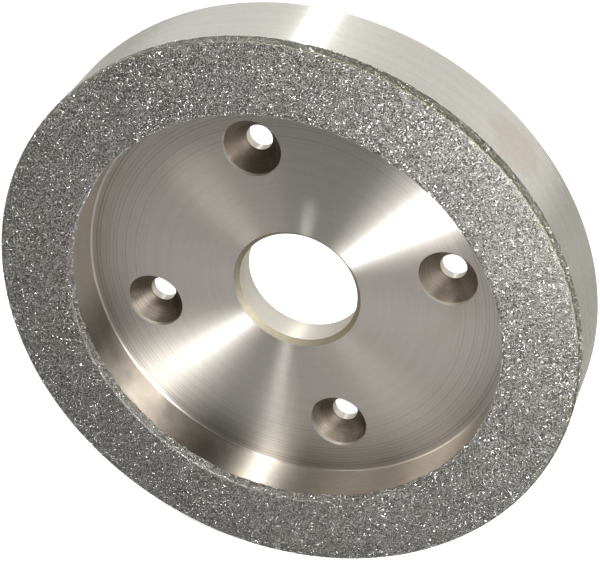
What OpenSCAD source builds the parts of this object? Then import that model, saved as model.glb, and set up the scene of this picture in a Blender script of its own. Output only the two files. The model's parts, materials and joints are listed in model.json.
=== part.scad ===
// Plate-mounted diamond cup wheel: a turned steel body with a plated diamond rim.
// The wheel stands on edge. Its axis lies along Y, the back face is the plane Y = 0,
// the diamond face looks toward -Y, and the origin is the bore centre in the back face.

/* [Body] */
// Outside diameter over the diamond layer
wheel_d = 152.4; // [148:0.1:160]
// Thickness of the steel body, from back face to rim face
body_t = 22.6; // [20:0.1:28]
// Break on the outer edge of the back face
back_break = 0.5; // [0.2:0.1:1]

/* [Recess] */
// Width of the steel rim around the recess
rim_w = 18.75; // [17:0.05:20]
// Thickness of the web behind the recess
web_t = 8.8; // [8:0.1:12]
// Fillet between the recess floor and its wall
floor_fillet = 0.8; // [0.3:0.1:2]

/* [Bore] */
// Diameter of the spindle bore
bore_d = 31.75; // [25:0.05:36]
// Width and depth of the 45 degree lead-in at the front of the bore
bore_lead = 1.25; // [0.5:0.05:2]

/* [Screw holes] */
// Number of screw holes
hole_count = 4; // [3:1:6]
// Diameter of the circle that the screw holes lie on
bolt_circle_d = 82; // [78:0.5:86]
// Angle of the first hole, from +X toward +Z
first_hole_angle = 16.5; // [0:0.5:90]
// Diameter of the plain part of a screw hole
screw_d = 6.9; // [6:0.1:8]
// Diameter of the countersink at the recess floor
head_d = 15.4; // [12:0.1:16]
// Full angle of the countersink
head_angle = 82; // [80:1:100]
// Depth of the straight wall above the countersink
head_lip = 1.15; // [0.3:0.05:1.5]

/* [Diamond layer] */
// Thickness of the nickel bond
bond_t = 0.15; // [0.12:0.01:0.25]
// Height that the crystals stand proud of the bond
grit_t = 0.15; // [0.12:0.01:0.25]
// Length of the layer down each side of the rim
edge_wrap = 3.2; // [2:0.1:6]
// Radius of the rim's two edges, on the steel
edge_r = 0.5; // [0.3:0.1:1]

/* [Hidden] */

$fn = 180;
rear_break = 0.3;   // break on the rear edges of the bore and the screw holes
cut_over = 1;       // how far a cutting tool runs past the face it leaves
arc_steps = 6;      // straight steps in a quarter circle of a turned profile

core_r = wheel_d / 2 - bond_t - grit_t;
recess_r = core_r - rim_w;
bore_r = bore_d / 2;
screw_r = screw_d / 2;
head_r = head_d / 2;
head_cone_h = (head_r - screw_r) / tan(head_angle / 2);
layer_t = bond_t + grit_t;

// Turned profiles are lists of [radius, height above the back face].
function arc(r, h, radius, from, to) =
    [for (i = [0:arc_steps])
        let (a = from + (to - from) * i / arc_steps)
        [r + radius * cos(a), h + radius * sin(a)]];

function reversed(list) = [for (i = [len(list) - 1:-1:0]) list[i]];

// The rim's two edges, moved outward by a distance: quarter circles with a wall below each
function outer_edge(off) = concat(
    [[core_r + off, body_t - edge_wrap]],
    arc(core_r - edge_r, body_t - edge_r, edge_r + off, 0, 90));

function inner_edge(off) = concat(
    arc(recess_r + edge_r, body_t - edge_r, edge_r + off, 90, 180),
    [[recess_r - off, body_t - edge_wrap]]);

function rim_path(off) = concat(outer_edge(off), inner_edge(off));

function core_profile() = concat(
    [[bore_r + rear_break, 0], [core_r - back_break, 0], [core_r, back_break]],
    arc(core_r - edge_r, body_t - edge_r, edge_r, 0, 90),
    arc(recess_r + edge_r, body_t - edge_r, edge_r, 90, 180),
    arc(recess_r - floor_fillet, web_t + floor_fillet, floor_fillet, 0, -90),
    [[bore_r + bore_lead, web_t], [bore_r, web_t - bore_lead], [bore_r, rear_break]]);

// Turns a profile about the wheel's axis, with the rim face toward -Y
module turned(profile) {
    rotate([90, 0, 0])
        rotate_extrude()
            polygon(profile);
}

// A skin over the rim between two distances from the steel
module skin(inside, outside) {
    turned(concat(outside, reversed(inside)));
}

// Cutting tool for one countersunk screw hole, with the web's back face at 0
module screw_hole() {
    cone_top = web_t - head_lip;
    translate([0, 0, -cut_over])
        cylinder(r = screw_r, h = web_t + 2 * cut_over);
    translate([0, 0, cone_top - head_cone_h])
        cylinder(r1 = screw_r, r2 = head_r, h = head_cone_h);
    translate([0, 0, cone_top])
        cylinder(r = head_r, h = head_lip + cut_over);
    translate([0, 0, -cut_over])
        cylinder(r1 = screw_r + rear_break + cut_over, r2 = screw_r, h = rear_break + cut_over);
}

module steel_core() {
    color("#b4ada3")
        difference() {
            turned(core_profile());
            rotate([90, 0, 0])
                for (i = [0:hole_count - 1])
                    rotate([0, 0, first_hole_angle + i * 360 / hole_count])
                        translate([bolt_circle_d / 2, 0, 0])
                            screw_hole();
        }
}

module nickel_bond() {
    color("#8a867f")
        skin(rim_path(0), rim_path(bond_t));
}

// The crystals stand as a thin skin over the bond, in three zones
module diamond_face() {
    face_in = recess_r + edge_r;
    face_out = core_r - edge_r;
    low = body_t + bond_t;
    high = body_t + layer_t;
    color("#67635d")
        turned([[face_in, low], [face_out, low], [face_out, high], [face_in, high]]);
}

module diamond_outer_edge() {
    color("#6f6b62")
        skin(outer_edge(bond_t), outer_edge(layer_t));
}

module diamond_inner_edge() {
    color("#6f6b62")
        skin(inner_edge(bond_t), inner_edge(layer_t));
}

steel_core();
nickel_bond();
diamond_face();
diamond_outer_edge();
diamond_inner_edge();
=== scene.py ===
import json
import math

import bpy
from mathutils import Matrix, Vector

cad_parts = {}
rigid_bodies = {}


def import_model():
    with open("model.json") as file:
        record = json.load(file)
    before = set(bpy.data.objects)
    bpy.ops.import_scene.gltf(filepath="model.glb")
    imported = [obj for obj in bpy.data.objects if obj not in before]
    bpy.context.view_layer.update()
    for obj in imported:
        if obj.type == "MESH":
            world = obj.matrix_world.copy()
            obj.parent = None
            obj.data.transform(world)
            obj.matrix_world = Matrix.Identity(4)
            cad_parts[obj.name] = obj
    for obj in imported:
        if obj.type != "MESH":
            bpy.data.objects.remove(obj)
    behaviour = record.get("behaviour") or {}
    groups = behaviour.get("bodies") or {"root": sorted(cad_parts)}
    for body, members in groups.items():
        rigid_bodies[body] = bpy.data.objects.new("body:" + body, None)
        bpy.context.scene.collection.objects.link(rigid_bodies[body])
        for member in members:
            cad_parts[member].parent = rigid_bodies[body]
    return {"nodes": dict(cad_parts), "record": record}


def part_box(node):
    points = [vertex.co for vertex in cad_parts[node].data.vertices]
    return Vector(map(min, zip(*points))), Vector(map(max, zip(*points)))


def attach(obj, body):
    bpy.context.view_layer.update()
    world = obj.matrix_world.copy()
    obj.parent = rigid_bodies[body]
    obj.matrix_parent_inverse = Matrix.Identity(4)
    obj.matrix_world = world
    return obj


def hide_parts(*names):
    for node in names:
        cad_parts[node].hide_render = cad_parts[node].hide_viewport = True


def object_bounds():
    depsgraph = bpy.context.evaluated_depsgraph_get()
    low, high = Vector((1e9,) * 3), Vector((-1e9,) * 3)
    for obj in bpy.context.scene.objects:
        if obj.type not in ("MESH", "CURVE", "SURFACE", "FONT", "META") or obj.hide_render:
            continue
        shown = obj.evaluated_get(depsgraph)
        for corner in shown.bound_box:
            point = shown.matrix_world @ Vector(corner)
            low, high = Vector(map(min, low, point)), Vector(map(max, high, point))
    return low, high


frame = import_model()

tiny = 1e-6              # metres; places closer than this count as one
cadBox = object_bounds()
print("frame loaded:", ", ".join(sorted(frame["nodes"])))


def readWheel():
    # the wheel's own sizes, in metres
    coreLow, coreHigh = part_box("steel_core")
    faceLow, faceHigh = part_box("diamond_face")
    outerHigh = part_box("diamond_outer_edge")[1]
    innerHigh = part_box("diamond_inner_edge")[1]
    mounts = {m["name"]: m["dims"] for m in frame["record"]["mounts"]}
    holes = [o["box_m"] for o in frame["record"]["physics"]["openings"] if "screw" in o["name"]]
    edgeR = coreHigh.x - faceHigh.x
    return {
        "coreR": coreHigh.x,
        "bodyT": -coreLow.y,
        "edgeR": edgeR,
        "recessR": innerHigh.x - edgeR,
        "bondT": coreLow.y - faceHigh.y,
        "layerT": coreLow.y - faceLow.y,
        "wrap": outerHigh.y - coreLow.y,
        "boreR": mounts["bore"]["r_mm"] / 1000,
        "screwR": mounts["screw_circle"]["hole_r_mm"] / 1000,
        "holes": [((low[0] + high[0]) / 2, (low[2] + high[2]) / 2) for low, high in holes],
    }


wheel = readWheel()
print("wheel:", {k: v for k, v in wheel.items() if k != "holes"})

cameraSetup = {
    "azimuth": 18.61,        # degrees round from the front
    "elevation": 33.39,
    "distance": 0.4961,      # from the middle of the diamond face
    "slide": (0.0054, 0.0098),                # to the right and up
    "lens": 119.35,          # millimetres, as the sensor is
    "sensor": 36,
    "nearest": 0.01,
}
floorSetup = {
    "size": 6.0,
    "colour": (0.9, 0.9, 0.89),               # as the camera sees it
    "flaggedFront": (0.26, 0.255, 0.25),      # as the wheel sees it, shaded off in front
    "flaggedBack": (0.85, 0.84, 0.80),
    "easing": (0.0, 0.35),                    # metres behind the wheel, from the one shade to the other
    "rough": 0.9,
    "glow": 0.5,
}
sky = {"front": 0.10, "back": 0.95, "easing": (-0.15, 0.5), "seen": 0.95}
white = (1, 1, 1)
lamps = {
    # place and size in metres, power in watts; each lamp faces the wheel
    "keyLamp": {"place": (0.205, -0.31, 0.068), "size": (0.19, 0.19), "power": 1.20, "colour": white},
    "rimLamp": {"place": (0.105, -0.13, 0.04), "size": (0.03, 0.03), "power": 0.52, "colour": white},
    "topLamp": {"place": (-0.012, -0.09, 0.24), "size": (0.008, 0.04), "power": 0.80, "colour": white},
    "backLamp": {"place": (-0.10, 0.42, 0.31), "size": (0.02, 0.10), "power": 0.24, "colour": white},
    "softLamp": {"place": (-0.35, -0.28, 0.32), "size": (0.3, 0.3), "power": 0.5, "colour": (1, 0.96, 0.9)},
    "sideLamp": {"place": (-0.55, -0.28, 0.0), "size": (0.4, 0.4), "power": 1.7, "colour": (1, 0.94, 0.86)},
}


def newMaterial(name):
    material = bpy.data.materials.new(name)
    material.use_nodes = True
    return material, material.node_tree, material.node_tree.nodes["Principled BSDF"]


# helpers for node trees; a value may be a number or another node's output
def maths(tree, operation, first, second=0.0):
    node = tree.nodes.new("ShaderNodeMath")
    node.operation = operation
    for socket, value in zip(node.inputs, (first, second)):
        if isinstance(value, (int, float)):
            socket.default_value = value
        else:
            tree.links.new(value, socket)
    return node.outputs[0]


def multiply(tree, first, second):
    return maths(tree, "MULTIPLY", first, second)


def hypotenuse(tree, first, second):
    squares = [multiply(tree, side, side) for side in (first, second)]
    return maths(tree, "SQRT", maths(tree, "ADD", *squares))


def objectCoordinates(tree):
    return tree.nodes.new("ShaderNodeTexCoord").outputs["Object"]


def separate(tree, vector):
    node = tree.nodes.new("ShaderNodeSeparateXYZ")
    tree.links.new(vector, node.inputs[0])
    return node.outputs


def noise(tree, size, detail=2.0, rough=0.5, warp=0.0, place=None, w=None):
    # runs along one line when w is given, else through space
    node = tree.nodes.new("ShaderNodeTexNoise")
    node.noise_dimensions = "3D" if w is None else "1D"
    node.inputs["Detail"].default_value = detail
    node.inputs["Roughness"].default_value = rough
    node.inputs["Distortion"].default_value = warp
    if isinstance(size, (int, float)):
        node.inputs["Scale"].default_value = size
    else:
        tree.links.new(size, node.inputs["Scale"])
    if place is not None:
        tree.links.new(place, node.inputs["Vector"])
    if w is not None:
        tree.links.new(w, node.inputs["W"])
    return node.outputs["Fac"]


def stretch(tree, value, low, high, outLow=0.0, outHigh=1.0):
    # eases from outLow to outHigh while the value goes from low to high
    node = tree.nodes.new("ShaderNodeMapRange")
    node.interpolation_type = "SMOOTHSTEP"
    tree.links.new(value, node.inputs["Value"])
    limits = {"From Min": low, "From Max": high, "To Min": outLow, "To Max": outHigh}
    for label, number in limits.items():
        if isinstance(number, (int, float)):
            node.inputs[label].default_value = number
        else:
            tree.links.new(number, node.inputs[label])
    return node.outputs["Result"]


def mixColour(tree, share, first, second):
    node = tree.nodes.new("ShaderNodeMix")
    node.data_type = "RGBA"
    if isinstance(share, (int, float)):
        node.inputs["Factor"].default_value = share
    else:
        tree.links.new(share, node.inputs["Factor"])
    for label, colour in (("A", first), ("B", second)):
        socket = [s for s in node.inputs if s.name == label and s.type == "RGBA"][0]
        if isinstance(colour, tuple):
            socket.default_value = (*colour, 1)
        else:
            tree.links.new(colour, socket)
    return [s for s in node.outputs if s.type == "RGBA"][0]


def layOver(tree, mask, strength, under, over):
    return mixColour(tree, multiply(tree, mask, strength), under, over)


def dimmed(colour, share):
    return tuple(part * share for part in colour)


def makeCamera():
    azimuth = math.radians(cameraSetup["azimuth"])
    elevation = math.radians(cameraSetup["elevation"])
    flat = math.cos(elevation)
    back = Vector((math.sin(azimuth) * flat, -math.cos(azimuth) * flat, math.sin(elevation)))
    right = Vector((math.cos(azimuth), math.sin(azimuth), 0))
    up = back.cross(right)
    faceMiddle = Vector((0, -wheel["bodyT"] - wheel["layerT"], 0))
    slideX, slideY = cameraSetup["slide"]
    place = faceMiddle + back * cameraSetup["distance"] + right * slideX + up * slideY
    bpy.ops.object.camera_add(location=place, rotation=(math.pi / 2 - elevation, 0, azimuth))
    camera = bpy.context.object
    camera.data.lens = cameraSetup["lens"]
    camera.data.sensor_width = cameraSetup["sensor"]
    camera.data.clip_start = cameraSetup["nearest"]
    bpy.context.scene.camera = camera


def makeFloor():
    bpy.ops.mesh.primitive_plane_add(size=floorSetup["size"], location=(0, 0, cadBox[0].z))
    floor = bpy.context.object
    floor.name = "floor"
    material, tree, shader = newMaterial("paleFloor")
    seen = tree.nodes.new("ShaderNodeLightPath").outputs["Is Camera Ray"]
    behind = stretch(tree, separate(tree, objectCoordinates(tree))["Y"], *floorSetup["easing"])
    flagged = mixColour(tree, behind, floorSetup["flaggedFront"], floorSetup["flaggedBack"])
    tree.links.new(mixColour(tree, seen, flagged, floorSetup["colour"]), shader.inputs["Base Color"])
    shader.inputs["Roughness"].default_value = floorSetup["rough"]
    shader.inputs["Emission Color"].default_value = (*white, 1)
    tree.links.new(multiply(tree, seen, floorSetup["glow"]), shader.inputs["Emission Strength"])
    floor.data.materials.append(material)


def makeLamp(name, setup):
    aim = Vector((0, -wheel["bodyT"], 0)) - Vector(setup["place"])
    turn = aim.to_track_quat("-Z", "Y").to_euler()
    bpy.ops.object.light_add(type="AREA", location=setup["place"], rotation=turn)
    lamp = bpy.context.object
    lamp.name = name
    lamp.data.shape = "RECTANGLE"
    lamp.data.size, lamp.data.size_y = setup["size"]
    lamp.data.energy = setup["power"]
    lamp.data.color = setup["colour"]
    lamp.visible_camera = False


def makeSky():
    # a pale wall behind the wheel and a dark room in front of it; the camera itself sees near white
    world = bpy.data.worlds.new("studio")
    world.use_nodes = True
    tree = world.node_tree
    backdrop = tree.nodes["Background"]
    ray = tree.nodes.new("ShaderNodeTexCoord").outputs["Generated"]
    level = stretch(tree, separate(tree, ray)["Y"], *sky["easing"], sky["front"], sky["back"])
    seen = tree.nodes.new("ShaderNodeLightPath").outputs["Is Camera Ray"]
    strength = stretch(tree, seen, 0.0, 1.0, level, sky["seen"])
    tree.links.new(strength, backdrop.inputs["Strength"])
    backdrop.inputs["Color"].default_value = (*white, 1)
    bpy.context.scene.world = world


bpy.ops.object.select_all(action="DESELECT")
makeCamera()
makeFloor()
makeSky()
for lampName, lampSetup in lamps.items():
    makeLamp(lampName, lampSetup)
bpy.context.scene.view_settings.view_transform = "Standard"
print("camera, floor and lights are set")


# helpers for work on one piece
def pickOnly(piece):
    bpy.ops.object.select_all(action="DESELECT")
    piece.select_set(True)
    bpy.context.view_layer.objects.active = piece


def copyPiece(piece, name):
    pickOnly(piece)
    bpy.ops.object.duplicate()
    copied = bpy.context.object
    copied.name = name
    return copied


def selectVerts(piece, test):
    bpy.ops.mesh.select_mode(type="VERT")
    bpy.ops.mesh.select_all(action="DESELECT")
    bpy.ops.object.mode_set(mode="OBJECT")
    for vert in piece.data.vertices:
        vert.select = test(vert.co)
    bpy.ops.object.mode_set(mode="EDIT")


def selectFaces(piece, test):
    bpy.ops.mesh.select_mode(type="FACE")
    bpy.ops.mesh.select_all(action="DESELECT")
    bpy.ops.object.mode_set(mode="OBJECT")
    for face in piece.data.polygons:
        face.select = test(face)
    bpy.ops.object.mode_set(mode="EDIT")


def near(a, b):
    return abs(a - b) < tiny


def roundCorner(piece, radius, depth, size, steps):
    selectVerts(piece, lambda co: near(co.x, radius) and near(co.y, -depth))
    bpy.ops.mesh.bevel(offset=size, offset_type="OFFSET", segments=steps, profile=0.5, affect="VERTICES")


def addSection(name, nearR, farR, rear, front):
    # a flat rectangle in the half plane that is later spun round the axis
    bpy.ops.object.select_all(action="DESELECT")
    bpy.ops.mesh.primitive_plane_add(size=1, location=((nearR + farR) / 2, -(rear + front) / 2, 0))
    piece = bpy.context.object
    piece.name = name
    piece.scale = (farR - nearR, front - rear, 1)
    bpy.ops.object.transform_apply(location=True, rotation=True, scale=True)
    return piece


def cutRun(piece, test, cuts):
    selectVerts(piece, test)
    bpy.ops.mesh.select_mode(type="EDGE")
    bpy.ops.mesh.subdivide(number_cuts=cuts)


def spinRound(steps):
    bpy.ops.mesh.select_mode(type="VERT")
    bpy.ops.mesh.select_all(action="SELECT")
    bpy.ops.mesh.spin(steps=steps, angle=2 * math.pi, center=(0, 0, 0), axis=(0, 1, 0))
    bpy.ops.mesh.select_all(action="SELECT")
    bpy.ops.mesh.remove_doubles(threshold=tiny)
    bpy.ops.mesh.normals_make_consistent(inside=False)


def settleOrder(piece):
    # operators may leave points and faces in another order each time,
    # and the crystals' places follow that order
    mesh = piece.data
    order = sorted(range(len(mesh.vertices)), key=lambda i: tuple(mesh.vertices[i].co))
    rank = {old: new for new, old in enumerate(order)}
    places = [tuple(mesh.vertices[i].co) for i in order]
    faces = []
    for face in mesh.polygons:
        corners = [rank[i] for i in face.vertices]
        first = corners.index(min(corners))
        faces.append(corners[first:] + corners[:first])
    mesh.clear_geometry()
    mesh.from_pydata(places, [], sorted(faces))
    mesh.update()


def applyModifier(piece, modifier):
    pickOnly(piece)
    bpy.ops.object.modifier_apply(modifier=modifier.name)


def smoothByAngle(piece, degrees):
    pickOnly(piece)
    bpy.ops.object.shade_smooth_by_angle(angle=math.radians(degrees))


steelBody = {
    "webT": 0.0088,
    "floorFillet": 0.0008,
    "boreLead": 0.00125,
    "rearBreak": 0.0003,     # at the back of the bore and the screw holes
    "backBreak": 0.0005,     # at the outside of the back
    "headR": 0.0077,
    "headAngle": 82,
    "headLip": 0.00115,
    "turns": 360,            # steps round the wheel
    "holeTurns": 72,
    "floorCuts": 60,         # rings on the recess floor
    "backCuts": 36,
    "sideCuts": 14,
    "wave": 0.000003,        # height of the waviness that the tool leaves
    "waveRates": (12.9898, 4.1),              # radians from ring to ring, out of step
    "toolLines": {0.0478: 0.000016, 0.0494: 0.00003, 0.0505: 0.00002},    # deeper lines, radius: depth
    "over": 0.001,           # how far a hole's cutter stands out of the steel
    "smooth": 25,            # degrees; sharper corners stay sharp
}


def makeBodySection():
    body = steelBody
    webT, bodyT, edgeR = body["webT"], wheel["bodyT"], wheel["edgeR"]
    boreR, recessR, coreR = wheel["boreR"], wheel["recessR"], wheel["coreR"]
    piece = addSection("steelBody", boreR, coreR, 0, webT)
    bpy.ops.object.mode_set(mode="EDIT")
    bpy.ops.mesh.select_all(action="SELECT")
    bpy.ops.mesh.bisect(plane_co=(recessR, 0, 0), plane_no=(1, 0, 0))
    selectVerts(piece, lambda co: near(co.y, -webT) and co.x > recessR - tiny)
    bpy.ops.mesh.select_mode(type="EDGE")
    bpy.ops.mesh.extrude_region_move(TRANSFORM_OT_translate={"value": (0, webT - bodyT, 0)})
    bpy.ops.mesh.select_all(action="SELECT")
    bpy.ops.mesh.dissolve_limited(angle_limit=0.01)       # takes out the points left on straight runs
    corners = [
        # radius, depth, size, steps
        (recessR, webT, body["floorFillet"], 6),
        (recessR, bodyT, edgeR, 5),
        (coreR, bodyT, edgeR, 5),
        (coreR, 0, body["backBreak"], 3),
        (boreR, webT, body["boreLead"], 1),
        (boreR, 0, body["rearBreak"], 2),
    ]
    for corner in corners:
        roundCorner(piece, *corner)
    bpy.ops.mesh.select_all(action="SELECT")
    bpy.ops.mesh.delete(type="ONLY_FACE")
    return piece


def addToolWaves(piece):
    body = steelBody
    floorY, recessR, coreR = -body["webT"], wheel["recessR"], wheel["coreR"]
    fast, slow = body["waveRates"]

    def onFloor(co):
        return near(co.y, floorY) and co.x < recessR

    def onBack(co):
        return near(co.y, 0)

    def onSide(co):
        return near(co.x, coreR)

    cutRun(piece, onFloor, body["floorCuts"])
    cutRun(piece, onBack, body["backCuts"])
    cutRun(piece, onSide, body["sideCuts"])
    bpy.ops.object.mode_set(mode="OBJECT")
    floorRings = [vert for vert in piece.data.vertices if onFloor(vert.co)]
    for radius, depth in body["toolLines"].items():
        min(floorRings, key=lambda vert: abs(vert.co.x - radius)).co.y += depth
    for count, vert in enumerate(piece.data.vertices):
        drift = body["wave"] * math.sin(count * fast) * math.cos(count * slow)
        if onFloor(vert.co) or onBack(vert.co):
            vert.co.y += drift
        elif onSide(vert.co):
            vert.co.x -= abs(drift)
    bpy.ops.object.mode_set(mode="EDIT")


def makeHoleCutter(x, z):
    body = steelBody
    screwR, headR, webT, over = wheel["screwR"], body["headR"], body["webT"], body["over"]
    coneTop = webT - body["headLip"]
    coneLow = coneTop - (headR - screwR) / math.tan(math.radians(body["headAngle"] / 2))
    steps = [
        # height above the back, radius
        (-over, screwR + body["rearBreak"] + over),
        (body["rearBreak"], screwR),
        (coneLow, screwR),
        (coneTop, headR),
        (webT + over, headR),
    ]
    bpy.ops.object.select_all(action="DESELECT")
    bpy.ops.mesh.primitive_circle_add(
        vertices=body["holeTurns"], radius=steps[0][1], fill_type="NGON",
        location=(x, -steps[0][0], z), rotation=(math.pi / 2, 0, 0))
    cutter = bpy.context.object
    bpy.ops.object.transform_apply(location=True, rotation=True, scale=True)
    bpy.ops.object.mode_set(mode="EDIT")
    bpy.ops.mesh.select_all(action="SELECT")
    for (height, radius), (nextHeight, nextRadius) in zip(steps, steps[1:]):
        bpy.ops.mesh.extrude_region_move(TRANSFORM_OT_translate={"value": (0, height - nextHeight, 0)})
        share = nextRadius / radius
        bpy.ops.transform.resize(value=(share, share, share), center_override=(x, -nextHeight, z))
    bpy.ops.mesh.select_all(action="SELECT")
    bpy.ops.mesh.normals_make_consistent(inside=False)
    bpy.ops.object.mode_set(mode="OBJECT")
    settleOrder(cutter)
    return cutter


def cutHoles(piece):
    cutters = [makeHoleCutter(x, z) for x, z in wheel["holes"]]
    bpy.ops.object.select_all(action="DESELECT")
    for cutter in cutters:
        cutter.select_set(True)
    bpy.context.view_layer.objects.active = cutters[0]
    bpy.ops.object.join()
    modifier = piece.modifiers.new("screwHoles", "BOOLEAN")
    modifier.operation = "DIFFERENCE"
    modifier.solver = "EXACT"
    modifier.object = cutters[0]
    applyModifier(piece, modifier)
    bpy.data.objects.remove(cutters[0])


def nearHole(co, reach):
    return any(math.hypot(co.x - x, co.z - z) < reach for x, z in wheel["holes"])


def bodyZone(face):
    # which finish a face of the steel body has, by its place and by how far it looks along the axis
    body = steelBody
    radius = math.hypot(face.center.x, face.center.z)
    along = abs(face.normal.y)
    square, mostlySquare, slanted, margin = 0.99, 0.7, 0.2, 0.0001
    if nearHole(face.center, body["headR"] + margin) and along < square:
        return "countersunkSteel" if along > slanted else "boredSteel"
    if radius < wheel["boreR"] + body["boreLead"]:
        return "leadSteel" if along > slanted else "boredSteel"
    if along > mostlySquare:
        return "turnedFace"
    return "turnedSide" if radius > wheel["recessR"] + wheel["edgeR"] else "recessWall"


def makeSteelBody():
    piece = makeBodySection()
    addToolWaves(piece)
    spinRound(steelBody["turns"])
    bpy.ops.object.mode_set(mode="OBJECT")
    settleOrder(piece)
    cutHoles(piece)
    settleOrder(piece)
    finishes = steelFinishes()
    for material in finishes.values():
        piece.data.materials.append(material)
    names = list(finishes)
    for face in piece.data.polygons:
        face.material_index = names.index(bodyZone(face))
    smoothByAngle(piece, steelBody["smooth"])
    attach(piece, "root")
    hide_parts("steel_core")
    print("steel body:", len(piece.data.polygons), "faces")


# shader groups that the materials share
def newGroup(name, inputs, outputs):
    group = bpy.data.node_groups.new(name, "ShaderNodeTree")
    for label, value in inputs.items():
        socket = group.interface.new_socket(name=label, in_out="INPUT", socket_type="NodeSocketFloat")
        socket.default_value = value
    for label in outputs:
        group.interface.new_socket(name=label, in_out="OUTPUT", socket_type="NodeSocketFloat")
    return group, group.nodes.new("NodeGroupInput"), group.nodes.new("NodeGroupOutput")


def turningMarksGroup():
    # marks that a lathe tool leaves round the wheel's axis: fine arcs of uneven length, and broad bands
    inputs = {"Fine": 5000.0, "Broad": 700.0, "Arcs": 40.0}
    group, ins, outs = newGroup("turningMarks", inputs, ["Fine", "Broad", "Deep"])
    x, y, z = separate(group, objectCoordinates(group))
    radius = hypotenuse(group, x, z)
    along = maths(group, "ADD", radius, y)
    polar = group.nodes.new("ShaderNodeCombineXYZ")
    group.links.new(multiply(group, along, ins.outputs["Fine"]), polar.inputs[0])
    for socket, side in zip(polar.inputs[1:], (x, z)):
        turn = maths(group, "DIVIDE", side, radius)
        group.links.new(multiply(group, turn, ins.outputs["Arcs"]), socket)
    arcs = noise(group, 0.7, detail=2.0, rough=0.6, place=polar.outputs[0])
    rings = noise(group, ins.outputs["Fine"], detail=3.0, rough=0.7, w=along)
    fine = maths(group, "ADD", multiply(group, arcs, 0.65), multiply(group, rings, 0.35))
    broad = noise(group, ins.outputs["Broad"], detail=2.0, w=along)
    group.links.new(fine, outs.inputs["Fine"])
    group.links.new(broad, outs.inputs["Broad"])
    # a few deeper lines, away from the middle of the wheel
    lines = stretch(group, noise(group, 1500.0, detail=2.0, rough=0.6, w=along), 0.52, 0.66)
    outward = stretch(group, radius, 0.040, 0.049)
    group.links.new(multiply(group, lines, outward), outs.inputs["Deep"])
    return group


def stainsGroup():
    # soft storage stains with ragged edges, and a scatter of small spots
    inputs = {"Size": 30.0, "Cover": 0.5, "Spots": 400.0}
    group, ins, outs = newGroup("stains", inputs, ["Patches", "Spots"])
    where = objectCoordinates(group)
    patch = noise(group, ins.outputs["Size"], detail=5.0, rough=0.55, warp=0.6, place=where)
    edge = maths(group, "SUBTRACT", 1.0, ins.outputs["Cover"])
    patches = stretch(group, patch, edge, maths(group, "ADD", edge, 0.22))
    spots = stretch(group, noise(group, ins.outputs["Spots"], detail=2.0, place=where), 0.62, 0.74)
    group.links.new(patches, outs.inputs["Patches"])
    group.links.new(spots, outs.inputs["Spots"])
    return group


def holeRingsGroup():
    # how far a point is from the axis of the nearest screw hole, for marks that run round each hole
    group, ins, outs = newGroup("holeRings", {}, ["Distance"])
    here = separate(group, objectCoordinates(group))
    nearest = None
    for holeX, holeZ in wheel["holes"]:
        across = maths(group, "SUBTRACT", here["X"], holeX)
        upward = maths(group, "SUBTRACT", here["Z"], holeZ)
        gap = hypotenuse(group, across, upward)
        nearest = gap if nearest is None else maths(group, "MINIMUM", nearest, gap)
    group.links.new(nearest, outs.inputs["Distance"])
    return group


def useGroup(tree, group, **values):
    node = tree.nodes.new("ShaderNodeGroup")
    node.node_tree = group
    for label, value in values.items():
        node.inputs[label].default_value = value
    return node.outputs


def bump(tree, height, distance, strength=1.0, normal=None):
    node = tree.nodes.new("ShaderNodeBump")
    node.inputs["Strength"].default_value = strength
    node.inputs["Distance"].default_value = distance
    tree.links.new(height, node.inputs["Height"])
    if normal is not None:
        tree.links.new(normal, node.inputs["Normal"])
    return node.outputs["Normal"]


groups = {"turning": turningMarksGroup(), "stains": stainsGroup(), "rings": holeRingsGroup()}

steelLook = {
    # grain is how strongly the turning brushes the light, and cover is the share of stains
    # fine and broad are rings to a metre, and marks and lines change the roughness and the colour
    "turnedFace": {
        "steel": (0.55, 0.525, 0.485), "dull": (0.40, 0.35, 0.29), "rough": 0.32, "grain": 1.0,
        "cover": 0.42, "fine": 4200.0, "broad": 520.0, "marks": 0.012, "lines": 0.12,
    },
    "turnedSide": {
        "steel": (0.62, 0.60, 0.545), "dull": (0.54, 0.49, 0.39), "rough": 0.26, "grain": 0.8,
        "cover": 0.42, "fine": 4200.0, "broad": 420.0, "marks": 0.015, "lines": 0.06,
    },
    "boredSteel": {
        "steel": (0.58, 0.55, 0.48), "dull": (0.40, 0.36, 0.26), "rough": 0.46, "grain": 0.5,
        "cover": 0.45, "fine": 4200.0, "broad": 420.0, "marks": 0.015, "lines": 0.06,
    },
    # painted shade: the lead's steel is far darker than the bore's
    "leadSteel": {
        "steel": (0.19, 0.17, 0.125), "dull": (0.14, 0.12, 0.08), "rough": 0.62, "grain": 0.3,
        "cover": 0.5, "fine": 4200.0, "broad": 420.0, "marks": 0.015, "lines": 0.06,
    },
    "recessWall": {
        "steel": (0.40, 0.365, 0.315), "dull": (0.27, 0.225, 0.185), "rough": 0.48, "grain": 1.0,
        "cover": 0.50, "fine": 4200.0, "broad": 420.0, "marks": 0.03, "lines": 0.14,
    },
}
steelWear = {
    "stainSize": 34.0,       # stains and spots to a metre
    "spotSize": 900.0,
    "patches": 0.55,         # strength of each kind of mark
    "spots": 0.08,
    "bands": 0.2,
    "deepLines": 0.5,
    "paintedShade": 0.3,          # painted shade of the flat faces, growing from left to right
    "paintedShadeX": (-0.01, 0.045),
    "stainRough": 0.05,
    "broadHeight": 0.000004,
    "fineHeight": 0.000005,
    "grainTurn": 0.25,       # a quarter turn, so that the light spreads across the lathe marks
}
# a brown stain on the recess wall, its colour darkened further as painted shade
wallStainAndShade = {"reachX": (-0.004, -0.026), "reachZ": (-0.004, -0.024), "colour": (0.115, 0.10, 0.083)}
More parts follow.
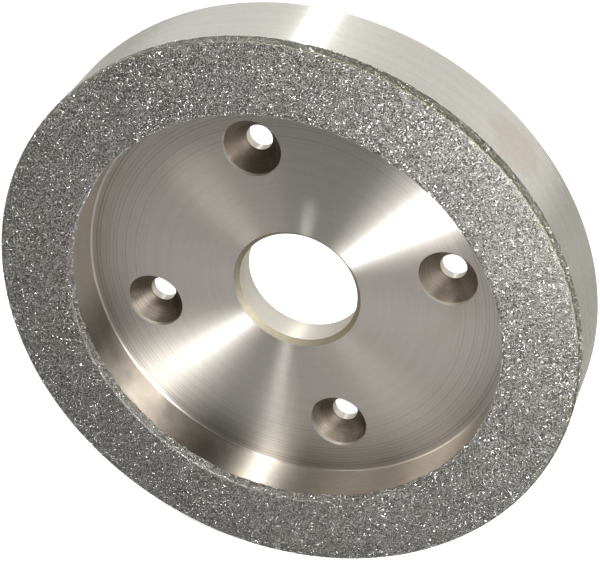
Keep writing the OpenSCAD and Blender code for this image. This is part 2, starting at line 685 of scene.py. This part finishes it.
sideStain = {
    "angle": 44,             # degrees round from +X
    "depth": 0.0100,         # from the back
    "size": (0.0090, 0.0080),
    "ragged": 0.9,
    "fade": (1.6, 1.1),      # from clean steel to stain, in stain sizes
    "strength": 0.6,
    "colour": (0.53, 0.46, 0.37),
}


def addFaceShadeAndGrime(tree, colour, steel, deepLines):
    # painted shade that darkens the right side, and dark grime in the deeper lines
    wear = steelWear
    x = separate(tree, objectCoordinates(tree))["X"]
    paintedShade = stretch(tree, x, *wear["paintedShadeX"], 0.0, wear["paintedShade"])
    colour = mixColour(tree, paintedShade, colour, dimmed(steel, 0.5))
    return layOver(tree, deepLines, wear["deepLines"], colour, dimmed(steel, 0.4))


def addWallStainAndShade(tree, colour):
    # brown staining, darkened further as painted shade, over the lower left quarter of the recess wall
    where = objectCoordinates(tree)
    here = separate(tree, where)
    leftward = stretch(tree, here["X"], *wallStainAndShade["reachX"])
    downward = stretch(tree, here["Z"], *wallStainAndShade["reachZ"])
    ragged = stretch(tree, noise(tree, 90.0, detail=4.0, rough=0.6, place=where), 0.3, 0.6, 0.8, 1.0)
    return layOver(tree, multiply(tree, leftward, downward), ragged, colour, wallStainAndShade["colour"])


def addSideStain(tree, colour):
    # one pinkish-brown mark on the outer side
    stain = sideStain
    angle = math.radians(stain["angle"])
    middle = (wheel["coreR"] * math.cos(angle), -stain["depth"], wheel["coreR"] * math.sin(angle))
    across, deep = stain["size"]
    mapping = tree.nodes.new("ShaderNodeMapping")
    mapping.vector_type = "TEXTURE"
    mapping.inputs["Location"].default_value = middle
    mapping.inputs["Scale"].default_value = (across, deep, across)
    where = objectCoordinates(tree)
    tree.links.new(where, mapping.inputs["Vector"])
    length = tree.nodes.new("ShaderNodeVectorMath")
    length.operation = "LENGTH"
    tree.links.new(mapping.outputs[0], length.inputs[0])
    ragged = multiply(tree, noise(tree, 220.0, detail=4.0, rough=0.6, place=where), stain["ragged"])
    reach = maths(tree, "ADD", length.outputs["Value"], ragged)
    mask = stretch(tree, reach, *stain["fade"], 0.0, stain["strength"])
    return mixColour(tree, mask, colour, stain["colour"])


def brushRound(tree, shader, grain):
    # stretches the highlights as lathe marks round the axis do
    tangent = tree.nodes.new("ShaderNodeTangent")
    tangent.direction_type = "RADIAL"
    tangent.axis = "Y"
    tree.links.new(tangent.outputs[0], shader.inputs["Tangent"])
    shader.inputs["Anisotropic"].default_value = grain
    shader.inputs["Anisotropic Rotation"].default_value = steelWear["grainTurn"]


def makeTurnedSteel(name, look):
    material, tree, shader = newMaterial(name)
    wear = steelWear
    steel, dull, rough, marks = look["steel"], look["dull"], look["rough"], look["marks"]
    turning = useGroup(tree, groups["turning"], Fine=look["fine"], Broad=look["broad"])
    stains = useGroup(tree, groups["stains"], Size=wear["stainSize"],
                      Cover=look["cover"], Spots=wear["spotSize"])
    bands = stretch(tree, turning["Broad"], 0.3, 0.7, 0.0, wear["bands"])
    colour = mixColour(tree, bands, steel, dimmed(steel, 0.8))
    lines = stretch(tree, turning["Fine"], 0.42, 0.58, 0.0, look["lines"])
    colour = mixColour(tree, lines, colour, dimmed(steel, 0.7))
    # painted shade darkens the face and back towards the right; grime darkens the deeper lines
    if name == "turnedFace":
        colour = addFaceShadeAndGrime(tree, colour, steel, turning["Deep"])
    colour = layOver(tree, stains["Patches"], wear["patches"], colour, dull)
    colour = layOver(tree, stains["Spots"], wear["spots"], colour, dimmed(dull, 0.5))
    if name == "turnedSide":
        colour = addSideStain(tree, colour)
    if name == "recessWall":
        # the lower left of the wall gets a brown stain deepened by painted shade
        colour = addWallStainAndShade(tree, colour)
    tree.links.new(colour, shader.inputs["Base Color"])
    rough = stretch(tree, turning["Fine"], 0.42, 0.58, rough - marks, rough + marks)
    rough = maths(tree, "ADD", rough, multiply(tree, stains["Patches"], wear["stainRough"]))
    tree.links.new(rough, shader.inputs["Roughness"])
    coarse = bump(tree, turning["Broad"], wear["broadHeight"])
    tree.links.new(bump(tree, turning["Fine"], wear["fineHeight"], normal=coarse), shader.inputs["Normal"])
    shader.inputs["Metallic"].default_value = 1.0
    brushRound(tree, shader, look["grain"])
    return material


countersunkLook = {
    # painted shade: the countersinks' steel is far darker than the turned steel
    "steel": (0.125, 0.106, 0.088),
    "dark": (0.06, 0.049, 0.037),
    "rust": (0.11, 0.07, 0.045),
    "rings": 4200.0,         # to a metre, outwards from each hole's axis
    "ringHeight": 0.00003,
    "rough": (0.45, 0.65),
    "patches": 0.8,
    "spots": 0.5,
}


def makeCountersunkSteel():
    look = countersunkLook
    material, tree, shader = newMaterial("countersunkSteel")
    distance = useGroup(tree, groups["rings"])["Distance"]
    rings = noise(tree, look["rings"], detail=2.0, rough=0.6, w=distance)
    stains = useGroup(tree, groups["stains"], Size=160.0, Cover=0.62, Spots=2200.0)
    # the steel's dark colour is painted shade inside the holes
    colour = mixColour(tree, stretch(tree, rings, 0.35, 0.65, 0.0, 0.5), look["steel"], look["dark"])
    colour = layOver(tree, stains["Patches"], look["patches"], colour, look["dark"])
    colour = layOver(tree, stains["Spots"], look["spots"], colour, look["rust"])
    tree.links.new(colour, shader.inputs["Base Color"])
    tree.links.new(stretch(tree, rings, 0.2, 0.8, *look["rough"]), shader.inputs["Roughness"])
    tree.links.new(bump(tree, rings, look["ringHeight"]), shader.inputs["Normal"])
    shader.inputs["Metallic"].default_value = 1.0
    return material


def steelFinishes():
    finishes = {name: makeTurnedSteel(name, look) for name, look in steelLook.items()}
    finishes["countersunkSteel"] = makeCountersunkSteel()
    return finishes


makeSteelBody()

nickelBond = {
    "turns": 480,
    "wallCuts": 6,
    "faceCuts": 12,
    "edgeSteps": 5,
    "ragged": 0.0011,        # how far the lower edge wanders, in all
    "raggedSize": 0.0014,
    "raggedDetail": 3,
    "raggedMiddle": 0.8,
    "raggedBand": 0.00045,   # points this close to the lower edge wander
    "smooth": 40,            # degrees; sharper corners stay sharp
    "lumps": 4200.0,         # to a metre
    "lumpHeight": 0.00014,
    "shadedHollow": (0.03, 0.029, 0.026),           # painted shade between the lumps
    "crest": (0.20, 0.194, 0.182),
    "tarnish": (0.15, 0.14, 0.10),
    # olive tarnish on the outer side, laid on more strongly to the right as painted shade
    "outside": (0.075, 0.075, 0.045),
}


def makeRimSkin():
    # the bare rim from one wall over the face to the other, as an open sheet
    bond = nickelBond
    border, top = wheel["bodyT"] - wheel["wrap"], wheel["bodyT"]
    recessR, coreR, edgeR = wheel["recessR"], wheel["coreR"], wheel["edgeR"]
    piece = addSection("rimSkin", recessR, coreR, border, top)
    bpy.ops.object.mode_set(mode="EDIT")
    roundCorner(piece, recessR, top, edgeR, bond["edgeSteps"])
    roundCorner(piece, coreR, top, edgeR, bond["edgeSteps"])
    bpy.ops.mesh.select_all(action="SELECT")
    bpy.ops.mesh.delete(type="ONLY_FACE")
    selectVerts(piece, lambda co: near(co.y, -border))
    bpy.ops.mesh.select_mode(type="EDGE")
    bpy.ops.mesh.delete(type="EDGE")
    wallTop = -(top - edgeR) - tiny
    for radius in (recessR, coreR):
        cutRun(piece, lambda co: near(co.x, radius) and co.y > wallTop, bond["wallCuts"])
    cutRun(piece, lambda co: near(co.y, -top), bond["faceCuts"])
    spinRound(bond["turns"])
    bpy.ops.object.mode_set(mode="OBJECT")
    return piece


def turnOutward(piece):
    # the spin may leave the open sheet inside out
    face = max(piece.data.polygons, key=lambda f: -f.center.y)
    if face.normal.y > 0:
        pickOnly(piece)
        bpy.ops.object.mode_set(mode="EDIT")
        bpy.ops.mesh.select_all(action="SELECT")
        bpy.ops.mesh.flip_normals()
        bpy.ops.object.mode_set(mode="OBJECT")


def makeNickelMaterial():
    # lumpy grey metal with painted shade in the hollows between the lumps, and a darker olive tarnish on
    # the outer side of the rim, laid on more strongly to the right as painted shade
    bond = nickelBond
    material, tree, shader = newMaterial("platedNickel")
    where = objectCoordinates(tree)
    lumps = noise(tree, bond["lumps"], detail=2.0, rough=0.6, place=where)
    clouds = noise(tree, 60.0, detail=4.0, rough=0.6, place=where)
    # painted shade darkens the hollows between the lumps
    colour = mixColour(tree, stretch(tree, lumps, 0.3, 0.7), bond["shadedHollow"], bond["crest"])
    colour = mixColour(tree, stretch(tree, clouds, 0.45, 0.7, 0.0, 0.4), colour, bond["tarnish"])
    here = separate(tree, where)
    radius = hypotenuse(tree, here["X"], here["Z"])
    outside = stretch(tree, radius, wheel["coreR"] - wheel["edgeR"], wheel["coreR"])
    # the tarnish is laid on more strongly to the right as painted shade
    shadeToRight = stretch(tree, here["X"], -0.01, 0.04, 0.4, 1.0)
    colour = layOver(tree, outside, shadeToRight, colour, bond["outside"])
    tree.links.new(colour, shader.inputs["Base Color"])
    tree.links.new(stretch(tree, lumps, 0.2, 0.8, 0.46, 0.30), shader.inputs["Roughness"])
    tree.links.new(bump(tree, lumps, bond["lumpHeight"]), shader.inputs["Normal"])
    shader.inputs["Metallic"].default_value = 1.0
    return material


def makeNickelBond(skin):
    bond = nickelBond
    piece = copyPiece(skin, "nickelBond")
    border = piece.vertex_groups.new(name="border")
    lowest = -(wheel["bodyT"] - wheel["wrap"])
    ring = [v.index for v in piece.data.vertices if v.co.y > lowest - bond["raggedBand"]]
    border.add(ring, 1.0, "REPLACE")
    thick = piece.modifiers.new("thick", "SOLIDIFY")
    thick.thickness = wheel["bondT"]
    thick.offset = 1.0
    applyModifier(piece, thick)
    clouds = bpy.data.textures.new("raggedEdge", "CLOUDS")
    clouds.noise_scale = bond["raggedSize"]
    clouds.noise_depth = bond["raggedDetail"]
    ragged = piece.modifiers.new("ragged", "DISPLACE")
    ragged.texture = clouds
    ragged.texture_coords = "LOCAL"
    ragged.direction = "Y"
    ragged.vertex_group = "border"
    ragged.strength = bond["ragged"]
    ragged.mid_level = bond["raggedMiddle"]
    applyModifier(piece, ragged)
    piece.data.materials.append(makeNickelMaterial())
    smoothByAngle(piece, bond["smooth"])
    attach(piece, "root")
    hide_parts("nickel_bond")
    print("nickel bond:", len(piece.data.polygons), "faces")


crystals = {
    "size": 0.00028,         # across a usual crystal
    "faceGap": 0.00027,      # least distance between two middles
    "edgeGap": 0.00028,
    "most": 4.0e7,           # tries to a square metre
    "height": 0.00013,       # a crystal's middle above the steel
    "tilt": 34,              # degrees
    "least": (0.8, 0.8, 0.8),                 # each crystal's size against the usual one
    "largest": (1.25, 1.25, 1.2),
    "faceParts": 7,
    "fade": 0.0007,          # the thinning starts this far above the lower edge
    "bare": 0.0001,          # and below this height there are no crystals
    "wander": 0.0018,        # how far the thinning wanders, in all
    "seed": 11,
    "refraction": 2.42,
}
crystalTints = {
    # colour and roughness; the outer edge is tarnished olive
    "face": {
        "clearDiamond": ((0.21, 0.205, 0.193), 0.27),
        "greyDiamond": ((0.06, 0.058, 0.054), 0.28),
        "smokyDiamond": ((0.011, 0.0105, 0.0095), 0.25),
        "honeyDiamond": ((0.085, 0.076, 0.055), 0.28),
    },
    "edge": {
        "tarnishedClear": ((0.12, 0.113, 0.078), 0.31),
        "tarnishedGrey": ((0.05, 0.048, 0.031), 0.32),
        "tarnishedSmoky": ((0.011, 0.0105, 0.007), 0.29),
        "tarnishedHoney": ((0.07, 0.06, 0.034), 0.31),
    },
}


def makeCrystalMaterial(name, colour, rough):
    material, tree, shader = newMaterial(name)
    shader.inputs["Base Color"].default_value = (*colour, 1)
    shader.inputs["Roughness"].default_value = rough
    shader.inputs["IOR"].default_value = crystals["refraction"]
    return material


def startCrystal(name, material, adder, **settings):
    bpy.ops.object.select_all(action="DESELECT")
    adder(**settings)
    piece = bpy.context.object
    piece.name = name
    piece.data.materials.append(material)
    bpy.ops.object.mode_set(mode="EDIT")
    bpy.ops.mesh.select_all(action="SELECT")
    return piece


def finishCrystal(piece, stretchBy):
    bpy.ops.mesh.select_all(action="SELECT")
    size = crystals["size"]
    bpy.ops.transform.resize(value=tuple(s * size for s in stretchBy), center_override=(0, 0, 0))
    bpy.ops.mesh.normals_make_consistent(inside=False)
    bpy.ops.object.mode_set(mode="OBJECT")
    settleOrder(piece)
    return piece


def makeBlock(name, material, stretchBy):
    # a cube with its corners cut back to the middles of its edges
    piece = startCrystal(name, material, bpy.ops.mesh.primitive_cube_add, size=0.9)
    bpy.ops.mesh.bevel(offset_type="PERCENT", offset_pct=50, affect="VERTICES")
    bpy.ops.mesh.select_all(action="SELECT")
    bpy.ops.mesh.remove_doubles(threshold=0.001)
    return finishCrystal(piece, stretchBy)


def makeSpike(name, material, stretchBy):
    # two four-sided pyramids, base to base
    piece = startCrystal(name, material, bpy.ops.mesh.primitive_uv_sphere_add,
                         segments=4, ring_count=2, radius=0.56)
    return finishCrystal(piece, stretchBy)


def makeShard(name, material, stretchBy, slope):
    # a broken cube with two slanted breaks
    piece = startCrystal(name, material, bpy.ops.mesh.primitive_cube_add, size=0.85)
    breaks = [((0.18, 0.1, 0.1), (1, slope, 0.6)), ((-0.2, -0.15, 0.2), (-0.5, -0.7, slope))]
    for point, direction in breaks:
        bpy.ops.mesh.select_all(action="SELECT")
        bpy.ops.mesh.bisect(plane_co=point, plane_no=direction, use_fill=True, clear_outer=True)
    return finishCrystal(piece, stretchBy)


def makeCrystalShapes(tints):
    clear, grey, smoky, honey = [makeCrystalMaterial(name, *tint) for name, tint in tints.items()]
    made = [
        makeSpike("spikeClear", clear, (1.05, 0.95, 1.0)),
        makeSpike("spikeGrey", grey, (1.0, 0.9, 1.05)),
        makeShard("shardSmoky", smoky, (1.05, 0.95, 0.9), 0.5),
        makeBlock("blockSmoky", smoky, (0.95, 1.05, 0.9)),
        makeSpike("spikeSmoky", smoky, (1.1, 1.0, 0.9)),
        makeSpike("spikeHoney", honey, (0.95, 1.05, 0.95)),
        makeShard("shardClear", clear, (0.95, 1.0, 0.95), 0.7),
        makeShard("shardLowGrey", grey, (1.0, 0.9, 1.0), 0.3),
    ]
    shapes = bpy.data.collections.new("crystalShapes")
    bpy.context.scene.collection.children.link(shapes)
    for shape in made:
        for owner in list(shape.users_collection):
            owner.objects.unlink(shape)
        shapes.objects.link(shape)
    return shapes


def removeShapes(shapes):
    for shape in list(shapes.objects):
        bpy.data.objects.remove(shape)
    bpy.data.collections.remove(shapes)


def addNode(tree, kind, **sockets):
    node = tree.nodes.new(kind)
    for label, value in sockets.items():
        wanted = label.replace("_", " ")
        socket = [s for s in node.inputs if s.name == wanted and s.enabled][0]
        if isinstance(value, bpy.types.NodeSocket):
            tree.links.new(value, socket)
        else:
            socket.default_value = value
    return node


def edgeThinning(tree):
    # 1 over most of the rim, falling to 0 in a ragged line at the layer's lower edge
    where = tree.nodes.new("GeometryNodeInputPosition").outputs[0]
    depth = separate(tree, where)["Y"]
    drift = maths(tree, "SUBTRACT", noise(tree, 700.0, detail=3.0, rough=0.6, place=where), 0.5)
    level = maths(tree, "ADD", depth, multiply(tree, drift, crystals["wander"]))
    border = -(wheel["bodyT"] - wheel["wrap"])
    return stretch(tree, level, border - crystals["fade"], border - crystals["bare"], 1.0, 0.0)


def randomVector(tree, low, high, seed):
    node = tree.nodes.new("FunctionNodeRandomValue")
    node.data_type = "FLOAT_VECTOR"
    node.inputs["Min"].default_value = low
    node.inputs["Max"].default_value = high
    node.inputs["Seed"].default_value = seed
    return node.outputs["Value"]


def randomChoice(tree, count, seed):
    node = tree.nodes.new("FunctionNodeRandomValue")
    node.data_type = "INT"
    highest = [s for s in node.inputs if s.type == "INT" and s.name == "Max"][0]
    highest.default_value = count - 1
    node.inputs["Seed"].default_value = seed
    return [s for s in node.outputs if s.type == "INT"][0]


def scatterPoints(tree, source, seed, gap, thinning):
    # points over the sheet, none closer than the gap, lifted to the middles of the crystals
    points = tree.nodes.new("GeometryNodeDistributePointsOnFaces")
    points.distribute_method = "POISSON"
    tree.links.new(source.outputs[0], points.inputs["Mesh"])
    points.inputs["Distance Min"].default_value = gap
    points.inputs["Density Max"].default_value = crystals["most"]
    points.inputs["Seed"].default_value = seed
    if thinning:
        tree.links.new(edgeThinning(tree), points.inputs["Density Factor"])
    lift = tree.nodes.new("ShaderNodeVectorMath")
    lift.operation = "SCALE"
    lift.inputs["Scale"].default_value = crystals["height"]
    tree.links.new(points.outputs["Normal"], lift.inputs[0])
    raised = addNode(tree, "GeometryNodeSetPosition",
                     Geometry=points.outputs["Points"], Offset=lift.outputs[0])
    return raised.outputs[0], points.outputs["Rotation"]


def randomTurn(tree, upright, seed):
    # any turn about the sheet's normal, and a tilt away from it
    tilt = math.radians(crystals["tilt"])
    spin = randomVector(tree, (-tilt, -tilt, 0), (tilt, tilt, 2 * math.pi), seed)
    turned = addNode(tree, "FunctionNodeEulerToRotation", Euler=spin)
    rotation = tree.nodes.new("FunctionNodeRotateRotation")
    rotation.rotation_space = "LOCAL"
    tree.links.new(upright, rotation.inputs[0])
    tree.links.new(turned.outputs[0], rotation.inputs[1])
    return rotation.outputs[0]


def makeScatter(name, shapes, seed, gap, thinning):
    tree = bpy.data.node_groups.new(name, "GeometryNodeTree")
    for direction in ("INPUT", "OUTPUT"):
        tree.interface.new_socket(name="Geometry", in_out=direction, socket_type="NodeSocketGeometry")
    source = tree.nodes.new("NodeGroupInput")
    points, upright = scatterPoints(tree, source, seed, gap, thinning)
    rotation = randomTurn(tree, upright, seed + 1)
    scale = randomVector(tree, crystals["least"], crystals["largest"], seed + 2)
    choice = randomChoice(tree, len(shapes.objects), seed + 3)
    box = tree.nodes.new("GeometryNodeCollectionInfo")
    box.inputs["Collection"].default_value = shapes
    box.inputs["Separate Children"].default_value = True
    box.inputs["Reset Children"].default_value = True
    copies = tree.nodes.new("GeometryNodeInstanceOnPoints")
    tree.links.new(points, copies.inputs["Points"])
    tree.links.new(box.outputs[0], copies.inputs["Instance"])
    copies.inputs["Pick Instance"].default_value = True
    tree.links.new(choice, copies.inputs["Instance Index"])
    tree.links.new(rotation, copies.inputs["Rotation"])
    tree.links.new(scale, copies.inputs["Scale"])
    real = tree.nodes.new("GeometryNodeRealizeInstances")
    tree.links.new(copies.outputs[0], real.inputs[0])
    result = tree.nodes.new("NodeGroupOutput")
    tree.links.new(real.outputs[0], result.inputs[0])
    return tree


def makeCrystalZone(name, skin, keep, shapes, seed, node, gap, thinning):
    # crystals over the part of the sheet that keep() picks
    piece = copyPiece(skin, name)
    bpy.ops.object.mode_set(mode="EDIT")
    selectFaces(piece, lambda face: not keep(face.center))
    bpy.ops.mesh.delete(type="FACE")
    bpy.ops.object.mode_set(mode="OBJECT")
    scatter = piece.modifiers.new("scatter", "NODES")
    scatter.node_group = makeScatter(name + "Scatter", shapes, seed, gap, thinning)
    applyModifier(piece, scatter)
    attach(piece, "root")
    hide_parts(node)
    piece.data.calc_loop_triangles()
    print(name, "has", len(piece.data.loop_triangles), "triangles,", len(piece.data.materials), "tints")


def makeCrystals(skin):
    faceShapes = makeCrystalShapes(crystalTints["face"])
    edgeShapes = makeCrystalShapes(crystalTints["edge"])
    top, middle = wheel["bodyT"] - tiny, (wheel["coreR"] + wheel["recessR"]) / 2
    parts, seed = crystals["faceParts"], crystals["seed"]

    def onFace(co):
        return -co.y > top

    def partOf(co):
        return int((math.atan2(co.z, co.x) / (2 * math.pi) + 1) * parts) % parts

    def outside(co):
        return not onFace(co) and math.hypot(co.x, co.z) > middle

    def inside(co):
        return not onFace(co) and math.hypot(co.x, co.z) < middle

    for part in range(parts):
        makeCrystalZone(f"diamondFace{part + 1}", skin, lambda co: onFace(co) and partOf(co) == part,
                        faceShapes, seed + 10 * part, "diamond_face", crystals["faceGap"], False)
    makeCrystalZone("diamondOuterEdge", skin, outside,
                    edgeShapes, seed + 200, "diamond_outer_edge", crystals["edgeGap"], True)
    makeCrystalZone("diamondInnerEdge", skin, inside,
                    faceShapes, seed + 300, "diamond_inner_edge", crystals["edgeGap"], True)
    removeShapes(faceShapes)
    removeShapes(edgeShapes)


rimSkin = makeRimSkin()
turnOutward(rimSkin)
settleOrder(rimSkin)
makeNickelBond(rimSkin)
makeCrystals(rimSkin)
bpy.data.objects.remove(rimSkin)
